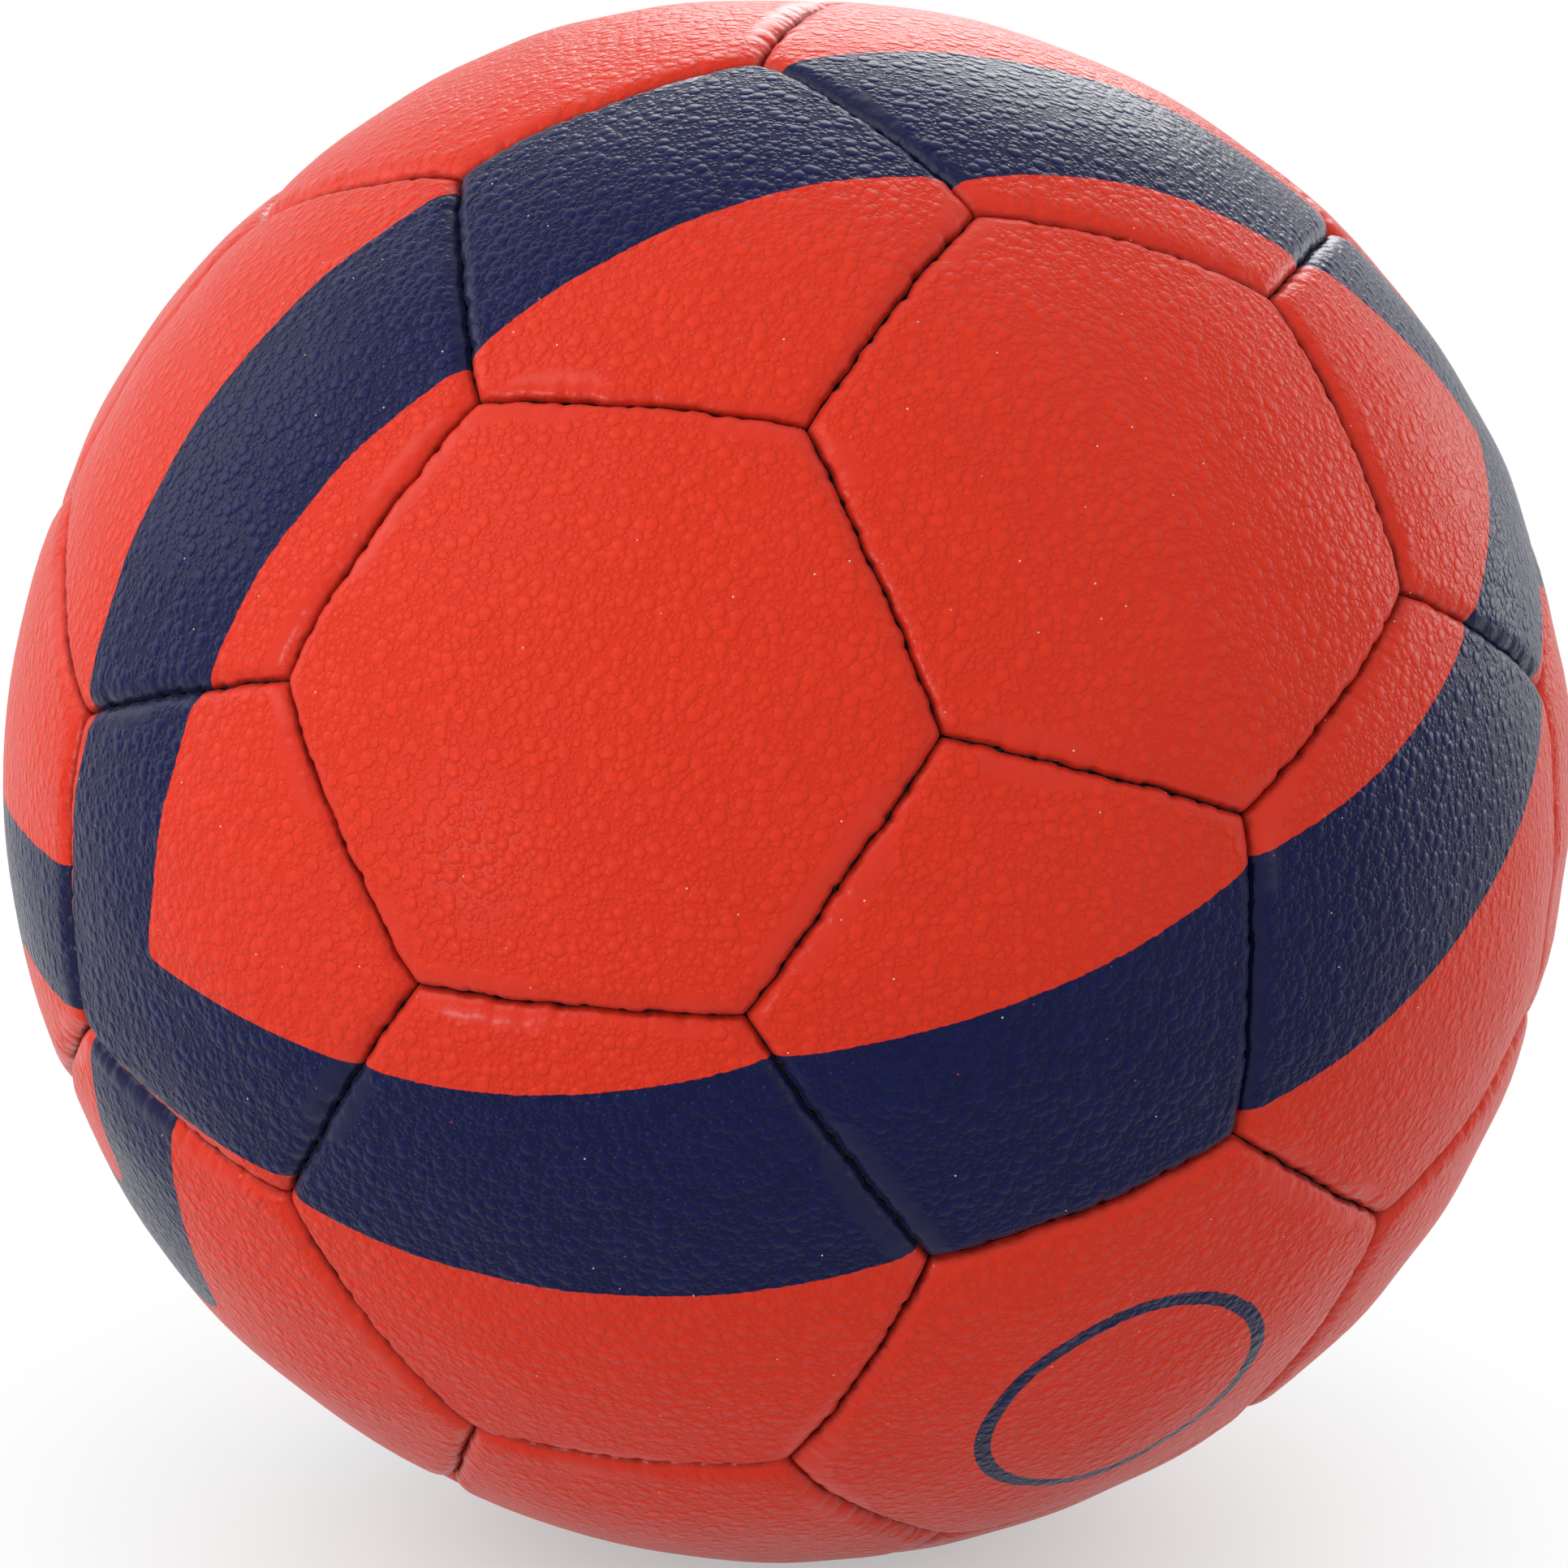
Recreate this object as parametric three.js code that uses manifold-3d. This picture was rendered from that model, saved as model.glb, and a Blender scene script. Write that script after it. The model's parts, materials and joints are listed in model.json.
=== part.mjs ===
import * as THREE from 'three';
import Module from 'manifold-3d';

// A hand-stitched ball for tchoukball, in millimetres, with its origin at its centre and +Z up.
// Twenty hexagonal and twelve pentagonal panels are sewn face to face along seam allowances that
// turn inwards. They enclose an inflated bladder, whose valve comes through one hexagon at the back.
// X, Y and Z each pass through the middle of a seam between two hexagons.

// Cover: sizes that every panel shares
const ballDiameter = 187.8; // a circumference of 590
const laminateThickness = 3.2; // grained skin, foam and cloth lining
const crownDrop = 0.5; // how much lower a panel's margin lies than its middle
const marginWidth = 4.6; // width over which a panel rolls down to its seam
const grooveDepth = 2.8; // from the ball's outer sphere down to where two panels meet
const seamAllowance = 4.2; // width of the turned-in flange below the groove
const flangeThickness = 2.2; // laminate pressed thin where it is sewn
const cornerRounding = 5.5; // length of edge that each rounded corner takes up
const cornerRelief = 1.1; // how far a rounded corner is drawn back, which leaves a pit where three meet

// Clearances
const seamGap = 0.3; // between the facing flanges of two panels
const seatGap = 0.3; // between other pieces that rest on each other
const weldDistance = 0.001; // points closer than this are one vertex

// Seam thread, which lies along the root of the flanges at the bottom of the groove
const threadDiameter = 0.9;
const threadEndGap = 1.2; // between one thread's end and the corner where another thread passes

// Bladder and valve
const bladderWall = 0.8;
const bladderSegments = 24;
const patchDiameter = 34;
const patchThickness = 0.9;
const valveStemDiameter = 8.6;
const valveRecess = 0.6; // how far the valve's outer end lies below the middle of its panel
const valveFlangeDiameter = 24;
const valveFlangeThickness = 1.0;
const valveNeckDiameter = 6.6; // the part of the housing that passes through the bladder's wall
const valveNeckLength = 3.0; // from the outside of the bladder inwards
const coreHeadDiameter = 6.0;
const coreHeadThickness = 1.1;
const coreShankDiameter = 4.0;
const needleChannelDiameter = 1.4;
const needleChannelDepth = 5.5;
const valveSegments = 20;

// The panel that carries the valve, as the direction of its middle
const golden = (1 + Math.sqrt(5)) / 2;
const valveDirection = new THREE.Vector3(0, golden, -1 / golden).normalize();

// Radii and insets that follow from the sizes above
const ballRadius = ballDiameter / 2;
const flangeInset = seamGap / 2;
const flangeInnerInset = flangeInset + flangeThickness;
const grooveRadius = ballRadius - grooveDepth;
const threadRadius = threadDiameter / 2;
const grooveInset = threadRadius + seatGap * Math.SQRT2; // half the width of the groove's floor
const flangeTopRadius = grooveRadius - (grooveInset - flangeInset);
const flangeTipRadius = flangeTopRadius - seamAllowance;
const undersideRadius = ballRadius - crownDrop - laminateThickness;

// Colours
const coverColour = 0xd53a25;
const rubberColour = 0x24262b;
const coreColour = 0x4a4d54;
const threadColour = 0x2b2440;
const patchColour = 0xd8d2c4;

const wasm = await Module();
wasm.setup();

// Layout of the panels

function icosahedronCorners() {
  const corners = [];
  for (const a of [-1, 1]) {
    for (const b of [-golden, golden]) {
      corners.push(new THREE.Vector3(0, a, b));
      corners.push(new THREE.Vector3(a, b, 0));
      corners.push(new THREE.Vector3(b, 0, a));
    }
  }
  return corners;
}

// A panel's corners lie at a third of the way along the icosahedron's edges
function cutPoint(from, to) {
  return from.clone().lerp(to, 1 / 3).normalize();
}

function sortedRound(centre, corners) {
  const right = corners[0].clone().projectOnPlane(centre).normalize();
  const up = centre.clone().cross(right);
  const angle = (corner) => Math.atan2(corner.dot(up), corner.dot(right));
  return corners.slice().sort((a, b) => angle(a) - angle(b));
}

function makePanel(shape, centre, corners) {
  const axis = centre.clone().normalize();
  const ring = sortedRound(axis, corners);
  const count = ring.length;
  const seams = ring.map((corner, k) => corner.clone().cross(ring[(k + 1) % count]).normalize());
  return { shape, axis, corners: ring, seams, sides: count };
}

// Pentagons lie at the icosahedron's corners and hexagons on its triangles
function layOutPanels() {
  const poles = icosahedronCorners();
  const edge = 2;
  const meets = (p, q) => p !== q && p.distanceTo(q) < edge * 1.01;
  const panels = [];
  for (const pole of poles) {
    const round = poles.filter((other) => meets(pole, other));
    panels.push(makePanel('pent', pole, round.map((other) => cutPoint(pole, other))));
  }
  poles.forEach((p, i) => {
    poles.slice(i + 1).forEach((q, j) => {
      for (const r of poles.slice(i + j + 2)) {
        if (!(meets(p, q) && meets(q, r) && meets(p, r))) continue;
        const pairs = [[p, q], [q, p], [q, r], [r, q], [r, p], [p, r]];
        const centre = p.clone().add(q).add(r);
        panels.push(makePanel('hex', centre, pairs.map(([a, b]) => cutPoint(a, b))));
      }
    });
  });
  return panels;
}

const panels = layOutPanels();
const seamAngle = panels[0].corners[0].angleTo(panels[0].corners[1]);
const seamLength = ballRadius * seamAngle;

// Points that follow a panel's outline

function alongArc(a, b, fraction) {
  const angle = a.angleTo(b);
  const first = a.clone().multiplyScalar(Math.sin((1 - fraction) * angle));
  return first.addScaledVector(b, Math.sin(fraction * angle)).divideScalar(Math.sin(angle));
}

// A corner at this radius whose distance from both of its seam planes is the inset
function outlineCorner(panel, k, radius, inset) {
  const before = panel.seams[(k + panel.sides - 1) % panel.sides];
  const after = panel.seams[k];
  const drawnIn = before.clone().add(after).multiplyScalar(inset / (1 + before.dot(after)));
  const outwards = Math.sqrt(radius ** 2 - drawnIn.lengthSq());
  return drawnIn.addScaledVector(panel.corners[k], outwards);
}

// A station counts the panel's sides: 2.5 is the middle of its third side
function outlinePoint(panel, station, { radius, inset, relief = 0 }) {
  const k = Math.floor(station) % panel.sides;
  const fraction = station - Math.floor(station);
  if (fraction === 0) return outlineCorner(panel, k, radius, inset + relief);
  const seam = panel.seams[k];
  const start = outlineCorner(panel, k, radius, inset).addScaledVector(seam, -inset);
  const end = outlineCorner(panel, (k + 1) % panel.sides, radius, inset).addScaledVector(seam, -inset);
  return alongArc(start, end, fraction).addScaledVector(seam, inset);
}

const cornerShare = cornerRounding / seamLength;
const sideShare = cornerShare + (1 - 2 * cornerShare) / 3;
const fineSteps = [0, cornerShare, sideShare, 1 - sideShare, 1 - cornerShare];
const coarseSteps = [0, 0.5];
const cornerSteps = [0];

function stationsOf(panel, steps) {
  const stations = [];
  for (let k = 0; k < panel.sides; k += 1) stations.push(...steps.map((step) => k + step));
  return stations;
}

function outlineRing(panel, steps, place) {
  const stations = stationsOf(panel, steps);
  return { stations, sides: panel.sides, points: stations.map((s) => outlinePoint(panel, s, place)) };
}

// A ring inside an outline, at a share of the way from the panel's middle to it
function innerRing(panel, steps, place, share, radius) {
  const stations = stationsOf(panel, steps);
  const points = stations.map((s) => {
    const edge = outlinePoint(panel, s, place).normalize();
    return alongArc(panel.axis, edge, share).multiplyScalar(radius);
  });
  return { stations, sides: panel.sides, points };
}

// Meshes

class Skin {
  constructor() {
    this.positions = [];
    this.indices = [];
  }

  addPoint(point) {
    this.positions.push(point.x, point.y, point.z);
    return this.positions.length / 3 - 1;
  }

  addRing(ring) {
    return { ...ring, ids: ring.points.map((point) => this.addPoint(point)) };
  }

  // Joins two rings of one panel, which may differ in their number of points
  zip(upper, lower) {
    const countUpper = upper.ids.length;
    const countLower = lower.ids.length;
    const stationUpper = (n) => (n < countUpper ? upper.stations[n] : upper.sides);
    const stationLower = (n) => (n < countLower ? lower.stations[n] : lower.sides);
    let i = 0;
    let j = 0;
    while (i < countUpper || j < countLower) {
      const a = upper.ids[i % countUpper];
      const b = lower.ids[j % countLower];
      const stepLower = j < countLower && (i >= countUpper || stationLower(j + 1) <= stationUpper(i + 1));
      if (stepLower) {
        j += 1;
        this.indices.push(a, b, lower.ids[j % countLower]);
      } else {
        i += 1;
        this.indices.push(a, b, upper.ids[i % countUpper]);
      }
    }
  }

  fanFrom(point, ring) {
    const apex = this.addPoint(point);
    ring.ids.forEach((id, k) => this.indices.push(apex, id, ring.ids[(k + 1) % ring.ids.length]));
  }

  fanTo(ring, point) {
    const apex = this.addPoint(point);
    ring.ids.forEach((id, k) => this.indices.push(id, apex, ring.ids[(k + 1) % ring.ids.length]));
  }

  quad(a, b, c, d) {
    this.indices.push(a, b, c, a, c, d);
  }

  geometry() {
    const geometry = new THREE.BufferGeometry();
    geometry.setAttribute('position', new THREE.Float32BufferAttribute(this.positions, 3));
    geometry.setIndex(this.indices);
    geometry.computeVertexNormals();
    return geometry;
  }
}

// One vertex wherever points coincide, and no triangle that this leaves without area
function welded(geometry) {
  const source = geometry.attributes.position;
  const kept = [];
  const ids = [];
  for (let n = 0; n < source.count; n += 1) {
    const point = new THREE.Vector3().fromBufferAttribute(source, n);
    let id = kept.findIndex((other) => other.distanceTo(point) < weldDistance);
    if (id < 0) id = kept.push(point) - 1;
    ids.push(id);
  }
  const skin = new Skin();
  kept.forEach((point) => skin.addPoint(point));
  const corners = Array.from(geometry.index.array, (n) => ids[n]);
  for (let n = 0; n < corners.length; n += 3) {
    const [a, b, c] = corners.slice(n, n + 3);
    if (a !== b && b !== c && c !== a) skin.indices.push(a, b, c);
  }
  return skin.geometry();
}

function toManifold(geometry) {
  const merged = welded(geometry);
  const vertProperties = new Float32Array(merged.attributes.position.array);
  const triVerts = new Uint32Array(merged.index.array);
  return new wasm.Manifold(new wasm.Mesh({ numProp: 3, vertProperties, triVerts }));
}

function fromManifold(solid) {
  const mesh = solid.getMesh();
  const geometry = new THREE.BufferGeometry();
  geometry.setAttribute('position', new THREE.Float32BufferAttribute(mesh.vertProperties, 3));
  geometry.setIndex(Array.from(mesh.triVerts));
  geometry.computeVertexNormals();
  return geometry;
}

// One cover panel: a crown that domes over the sphere, a margin that rolls down a quarter turn
// to the groove's floor, a flange that stands inwards on every side, and the lining underneath
function panelGeometry(panel) {
  const rollSteps = 3;
  const skin = new Skin();
  const crownEdge = { radius: ballRadius - crownDrop, inset: marginWidth, relief: cornerRelief };
  const crownRadius = (share) => ballRadius - crownDrop * share ** 2;

  const rings = [];
  rings.push(innerRing(panel, cornerSteps, crownEdge, 1 / 3, crownRadius(1 / 3)));
  rings.push(innerRing(panel, coarseSteps, crownEdge, 2 / 3, crownRadius(2 / 3)));
  for (let step = 0; step < rollSteps; step += 1) {
    const turn = (step / rollSteps) * (Math.PI / 2);
    const inset = grooveInset + (marginWidth - grooveInset) * (1 - Math.sin(turn));
    const drop = crownDrop + (grooveDepth - crownDrop) * (1 - Math.cos(turn));
    rings.push(outlineRing(panel, fineSteps, { radius: ballRadius - drop, inset, relief: cornerRelief }));
  }
  const root = { radius: undersideRadius, inset: flangeInnerInset };
  const flange = [
    { radius: grooveRadius, inset: grooveInset },
    { radius: flangeTopRadius, inset: flangeInset },
    { radius: flangeTipRadius, inset: flangeInset },
    { radius: flangeTipRadius, inset: flangeInnerInset },
    root,
  ];
  rings.push(...flange.map((place) => outlineRing(panel, coarseSteps, place)));
  rings.push(innerRing(panel, cornerSteps, root, 1 / 2, undersideRadius));

  const placed = rings.map((ring) => skin.addRing(ring));
  skin.fanFrom(panel.axis.clone().multiplyScalar(ballRadius), placed[0]);
  placed.slice(1).forEach((ring, k) => skin.zip(placed[k], ring));
  skin.fanTo(placed[placed.length - 1], panel.axis.clone().multiplyScalar(undersideRadius));
  return skin.geometry();
}

// How far the flat facets between points on a sphere dip below it
function facetDip(radius, side) {
  const reach = side / Math.sqrt(3);
  return radius - Math.sqrt(radius ** 2 - reach ** 2);
}

function chordDip(radius, chord) {
  return radius * (1 - Math.cos(chord / 2 / radius));
}

const halfSeam = seamLength / 2;
const liningLowest = undersideRadius - facetDip(undersideRadius, halfSeam);

// The valve's patch lies under its panel and the housing's flange lies on the bladder
const patchOuterRadius = liningLowest - seatGap;
const patchInnerRadius = patchOuterRadius - patchThickness;
const bladderRadius = Math.min(
  flangeTipRadius - chordDip(flangeTipRadius, halfSeam) - seatGap,
  patchInnerRadius - valveFlangeThickness - 2 * seatGap,
);

// The ball is sewn as two caps, one round the valve and one opposite it, and a closing seam
function capOf(panel) {
  return panel.axis.dot(valveDirection) > 0 ? 'valve' : 'front';
}

function panelsAt(corner) {
  return panels.filter((panel) => panel.corners.some((own) => own.distanceTo(corner) < weldDistance));
}

function acrossSeam(panel, k) {
  const atEnd = panelsAt(panel.corners[(k + 1) % panel.sides]);
  return panelsAt(panel.corners[k]).find((other) => other !== panel && atEnd.includes(other));
}

const threadOfSeam = new Map(panels.map((panel) => {
  const threads = panel.seams.map((seam, k) => {
    const cap = capOf(panel);
    return capOf(acrossSeam(panel, k)) === cap ? cap : 'closing';
  });
  return [panel, threads];
}));

// The closing thread passes every corner that it reaches, and a cap's thread stops short there
function threadOfCorner(panel, k) {
  const caps = new Set(panelsAt(panel.corners[k]).map(capOf));
  return caps.size > 1 ? 'closing' : capOf(panel);
}

// A thread has a diamond section: a crest and a keel on the seam, and a flank in each panel's half
function threadGeometry(thread) {
  const skin = new Skin();
  const endShare = threadEndGap / seamLength;
  const sectionAt = (panel, station) => {
    const crest = outlinePoint(panel, station, { radius: grooveRadius + threadRadius, inset: 0 });
    const flank = outlinePoint(panel, station, { radius: grooveRadius, inset: threadRadius });
    const keel = outlinePoint(panel, station, { radius: grooveRadius - threadRadius, inset: 0 });
    return [crest, flank, keel].map((point) => skin.addPoint(point));
  };
  for (const panel of panels) {
    const threads = threadOfSeam.get(panel);
    for (let k = 0; k < panel.sides; k += 1) {
      const next = (k + 1) % panel.sides;
      const before = (k + panel.sides - 1) % panel.sides;
      const passesCorner = threadOfCorner(panel, k) === thread;
      const holdsBefore = threads[before] === thread;
      // Where only two of a corner's three seams are this thread's, its third side is closed
      if (passesCorner && holdsBefore !== (threads[k] === thread)) {
        const [crest, flank, keel] = sectionAt(panel, k);
        skin.indices.push(crest, ...(holdsBefore ? [keel, flank] : [flank, keel]));
      }
      if (threads[k] !== thread) continue;
      const start = passesCorner ? k : k + endShare;
      const end = threadOfCorner(panel, next) === thread ? k + 1 : k + 1 - endShare;
      const sections = [start, k + 0.5, end].map((station) => sectionAt(panel, station));
      sections.slice(1).forEach((to, n) => {
        const from = sections[n];
        skin.quad(from[0], to[0], to[1], from[1]);
        skin.quad(from[1], to[1], to[2], from[2]);
      });
      if (start !== k) skin.indices.push(sections[0][0], sections[0][1], sections[0][2]);
      if (end !== k + 1) skin.indices.push(sections[2][0], sections[2][2], sections[2][1]);
    }
  }
  return welded(skin.geometry());
}

// Turned pieces: each profile is revolved about the valve's axis, which is the local Y axis

function arcProfile(radius, fromAngle, toAngle, steps) {
  const points = [];
  for (let k = 0; k <= steps; k += 1) {
    const angle = fromAngle + ((toAngle - fromAngle) * k) / steps;
    const onAxis = Math.abs(Math.sin(angle)) < 1e-9;
    points.push(new THREE.Vector2(onAxis ? 0 : radius * Math.sin(angle), radius * Math.cos(angle)));
  }
  return points;
}

function closedProfile(points) {
  return [...points, points[0].clone()];
}

const neckRadius = valveNeckDiameter / 2;
const stemRadius = valveStemDiameter / 2;

// A hollow sphere, open where the valve's neck passes through its wall
function bladderGeometry() {
  const inner = bladderRadius - bladderWall;
  const opening = neckRadius + seatGap;
  const steps = bladderSegments / 2;
  const outside = arcProfile(bladderRadius, Math.PI, Math.asin(opening / bladderRadius), steps);
  const inside = arcProfile(inner, Math.asin(opening / inner), Math.PI, steps);
  return new THREE.LatheGeometry([...outside, ...inside], bladderSegments);
}

// A cloth ring that follows the lining behind the valve's panel
function patchGeometry() {
  const hole = stemRadius + seatGap;
  const reach = (radius) => [Math.asin(hole / radius), Math.asin(patchDiameter / 2 / radius)];
  const [topHole, topRim] = reach(patchOuterRadius);
  const [lowHole, lowRim] = reach(patchInnerRadius);
  const top = arcProfile(patchOuterRadius, topRim, topHole, 2);
  const low = arcProfile(patchInnerRadius, lowHole, lowRim, 2);
  return new THREE.LatheGeometry(closedProfile([...top, ...low]), valveSegments);
}

const valveFaceHeight = ballRadius - valveRecess;
const housingSeat = bladderRadius + seatGap;
const neckEnd = bladderRadius - valveNeckLength;
const coreBoreRadius = coreShankDiameter / 2 + seatGap;
const coreSeatRadius = coreHeadDiameter / 2 + seatGap;
const coreSeatHeight = valveFaceHeight - coreHeadThickness - seatGap;

// The rubber housing: a neck through the bladder, a flange that lies on it, and a stem with a
// stepped bore for the core
function housingGeometry() {
  const flangeRadius = valveFlangeDiameter / 2;
  const seatAt = (radius) => Math.sqrt(housingSeat ** 2 - radius ** 2);
  const point = (x, y) => new THREE.Vector2(x, y);
  return new THREE.LatheGeometry(closedProfile([
    point(coreBoreRadius, neckEnd),
    point(neckRadius, neckEnd),
    point(neckRadius, seatAt(neckRadius)),
    point(flangeRadius, seatAt(flangeRadius)),
    point(flangeRadius, seatAt(flangeRadius) + valveFlangeThickness / 2),
    point(stemRadius + valveFlangeThickness, seatAt(stemRadius) + valveFlangeThickness),
    point(stemRadius, seatAt(stemRadius) + valveFlangeThickness * 2),
    point(stemRadius, valveFaceHeight),
    point(coreSeatRadius, valveFaceHeight),
    point(coreSeatRadius, coreSeatHeight),
    point(coreBoreRadius, coreSeatHeight),
  ]), valveSegments);
}

// The plug inside the housing, with a blind channel that guides the pump's needle
function coreGeometry() {
  const channel = needleChannelDiameter / 2;
  const headRadius = coreHeadDiameter / 2;
  const shankRadius = coreShankDiameter / 2;
  const point = (x, y) => new THREE.Vector2(x, y);
  return new THREE.LatheGeometry([
    point(0, neckEnd),
    point(shankRadius, neckEnd),
    point(shankRadius, valveFaceHeight - coreHeadThickness),
    point(headRadius, valveFaceHeight - coreHeadThickness),
    point(headRadius, valveFaceHeight),
    point(channel, valveFaceHeight),
    point(channel, valveFaceHeight - needleChannelDepth),
    point(0, valveFaceHeight - needleChannelDepth - channel),
  ], valveSegments);
}

// The hole in the valve's panel
function drilled(geometry, turnToValve) {
  const length = laminateThickness * 3;
  const drill = new THREE.CylinderGeometry(stemRadius + seatGap, stemRadius + seatGap, length, valveSegments);
  drill.translate(0, (ballRadius + undersideRadius) / 2, 0);
  drill.applyQuaternion(turnToValve);
  return fromManifold(toManifold(geometry).subtract(toManifold(drill)));
}

// Assembly

function makeMesh(name, geometry, color, roughness) {
  const material = new THREE.MeshStandardMaterial({ color, roughness, metalness: 0 });
  const mesh = new THREE.Mesh(geometry, material);
  mesh.name = name;
  return mesh;
}

const group = new THREE.Group();
const turnToValve = new THREE.Quaternion().setFromUnitVectors(new THREE.Vector3(0, 1, 0), valveDirection);

const counts = { hex: 0, pent: 0 };
for (const panel of panels) {
  counts[panel.shape] += 1;
  const number = String(counts[panel.shape]).padStart(2, '0');
  const hasValve = panel.axis.dot(valveDirection) > 0.9999;
  const plain = panelGeometry(panel);
  const geometry = hasValve ? drilled(plain, turnToValve) : plain;
  group.add(makeMesh(`panel_${panel.shape}_${number}`, geometry, coverColour, 0.5));
}

group.add(makeMesh('thread_valve_cap', threadGeometry('valve'), threadColour, 0.8));
group.add(makeMesh('thread_front_cap', threadGeometry('front'), threadColour, 0.8));
group.add(makeMesh('thread_closing_seam', threadGeometry('closing'), threadColour, 0.8));

const valveGroup = new THREE.Group();
valveGroup.quaternion.copy(turnToValve);
valveGroup.add(makeMesh('bladder', bladderGeometry(), rubberColour, 0.6));
valveGroup.add(makeMesh('valve_patch', patchGeometry(), patchColour, 0.9));
valveGroup.add(makeMesh('valve_housing', housingGeometry(), rubberColour, 0.6));
valveGroup.add(makeMesh('valve_core', coreGeometry(), coreColour, 0.6));
group.add(valveGroup);

export default group;
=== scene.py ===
# Hand-stitched court ball: 32 grained cover panels, seam threads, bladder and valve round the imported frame.
# Blender works in metres; sizes in the dictionaries are millimetres unless their note says otherwise.
import json
import math

import bpy
import numpy as np
from mathutils import Matrix, Vector

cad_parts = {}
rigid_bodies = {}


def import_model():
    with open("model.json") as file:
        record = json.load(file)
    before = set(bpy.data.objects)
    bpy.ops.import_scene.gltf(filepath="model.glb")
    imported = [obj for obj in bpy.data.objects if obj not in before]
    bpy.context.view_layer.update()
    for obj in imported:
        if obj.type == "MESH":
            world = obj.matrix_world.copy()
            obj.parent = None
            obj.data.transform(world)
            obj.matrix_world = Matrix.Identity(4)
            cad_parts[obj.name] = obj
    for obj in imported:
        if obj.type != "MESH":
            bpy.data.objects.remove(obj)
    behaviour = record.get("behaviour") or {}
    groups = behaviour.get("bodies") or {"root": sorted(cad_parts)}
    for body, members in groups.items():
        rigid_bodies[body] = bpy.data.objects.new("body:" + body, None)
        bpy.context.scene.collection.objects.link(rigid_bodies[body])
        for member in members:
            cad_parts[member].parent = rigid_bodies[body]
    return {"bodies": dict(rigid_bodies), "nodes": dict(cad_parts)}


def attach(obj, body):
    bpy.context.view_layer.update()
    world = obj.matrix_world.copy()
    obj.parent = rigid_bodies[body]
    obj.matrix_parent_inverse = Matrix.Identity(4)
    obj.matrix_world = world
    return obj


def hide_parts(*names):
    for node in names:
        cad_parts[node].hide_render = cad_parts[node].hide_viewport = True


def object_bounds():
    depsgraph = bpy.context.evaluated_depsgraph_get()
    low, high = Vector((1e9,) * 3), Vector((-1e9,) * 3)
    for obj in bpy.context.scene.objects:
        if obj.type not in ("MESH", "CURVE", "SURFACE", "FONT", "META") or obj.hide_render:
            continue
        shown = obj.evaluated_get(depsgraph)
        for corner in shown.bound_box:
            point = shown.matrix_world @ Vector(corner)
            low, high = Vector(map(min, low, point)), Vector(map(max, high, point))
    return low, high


mm = 0.001
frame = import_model()
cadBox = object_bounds()


def nodePoints(node):  # a node's corners in millimetres
    return np.array([v.co for v in frame["nodes"][node].data.vertices]) / mm


panelNodes = sorted(n for n in frame["nodes"] if n.startswith("panel_"))
ballRadius = max(np.linalg.norm(nodePoints(n), axis=1).max() for n in panelNodes)

# camera

cameraView = {
    "towardsCamera": (0.2376, -0.9303, 0.2793),
    "up": (-0.0843, 0.2667, 0.9601),
    "distance": 845.0,
    "halfAngle": 6.379,  # degrees
    "sensor": 36.0,
    "shift": (-0.0026, -0.0031),  # shares of the picture's width
}


def makeCamera():
    data = bpy.data.cameras.new("camera")
    data.sensor_width = cameraView["sensor"]
    data.lens = data.sensor_width / 2 / math.tan(math.radians(cameraView["halfAngle"]))
    data.shift_x, data.shift_y = cameraView["shift"]
    back = Vector(cameraView["towardsCamera"]).normalized()
    right = Vector(cameraView["up"]).cross(back).normalized()
    up = back.cross(right)
    camera = bpy.data.objects.new("camera", data)
    camera.matrix_world = Matrix((right, up, back)).transposed().to_4x4()
    camera.matrix_world.translation = back * cameraView["distance"] * mm
    bpy.context.scene.collection.objects.link(camera)
    bpy.context.scene.camera = camera
    return right, up, back


pictureRight, pictureUp, pictureBack = makeCamera()
print("camera ready")

# panels and seams

golden = (1 + math.sqrt(5)) / 2


def unit(vectors):
    vectors = np.asarray(vectors, float)
    return vectors / np.linalg.norm(vectors, axis=-1, keepdims=True)


def cycled(points):  # each point with its coordinates moved round
    return [np.roll(p, k) for p in points for k in range(3)]


signs = (-1, 1)
pentMiddles = unit(cycled([(0, a, b * golden) for a in signs for b in signs]))
hexMiddles = unit(
    [(a, b, c) for a in signs for b in signs for c in signs]
    + cycled([(0, a * golden, b / golden) for a in signs for b in signs])
)
# An apothem is the angle from a panel's middle to its seam
hexApothem = math.acos(np.sort(hexMiddles @ hexMiddles[0])[-2]) / 2
pentApothem = math.acos((hexMiddles @ pentMiddles[0]).max()) - hexApothem
# Half a seam's length, measured over the ball
seamHalf = ballRadius * math.atan(math.tan(hexApothem) * math.tan(math.pi / 6) * math.cos(hexApothem))

panels = []
for node in panelNodes:
    isPent = "pent" in node
    middles = pentMiddles if isPent else hexMiddles
    panels.append({
        "node": node,
        "number": len(panels),
        "sides": 5 if isPent else 6,
        "middle": middles[np.argmax(middles @ unit(nodePoints(node).mean(axis=0)))],
        "apothem": pentApothem if isPent else hexApothem,
    })

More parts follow.
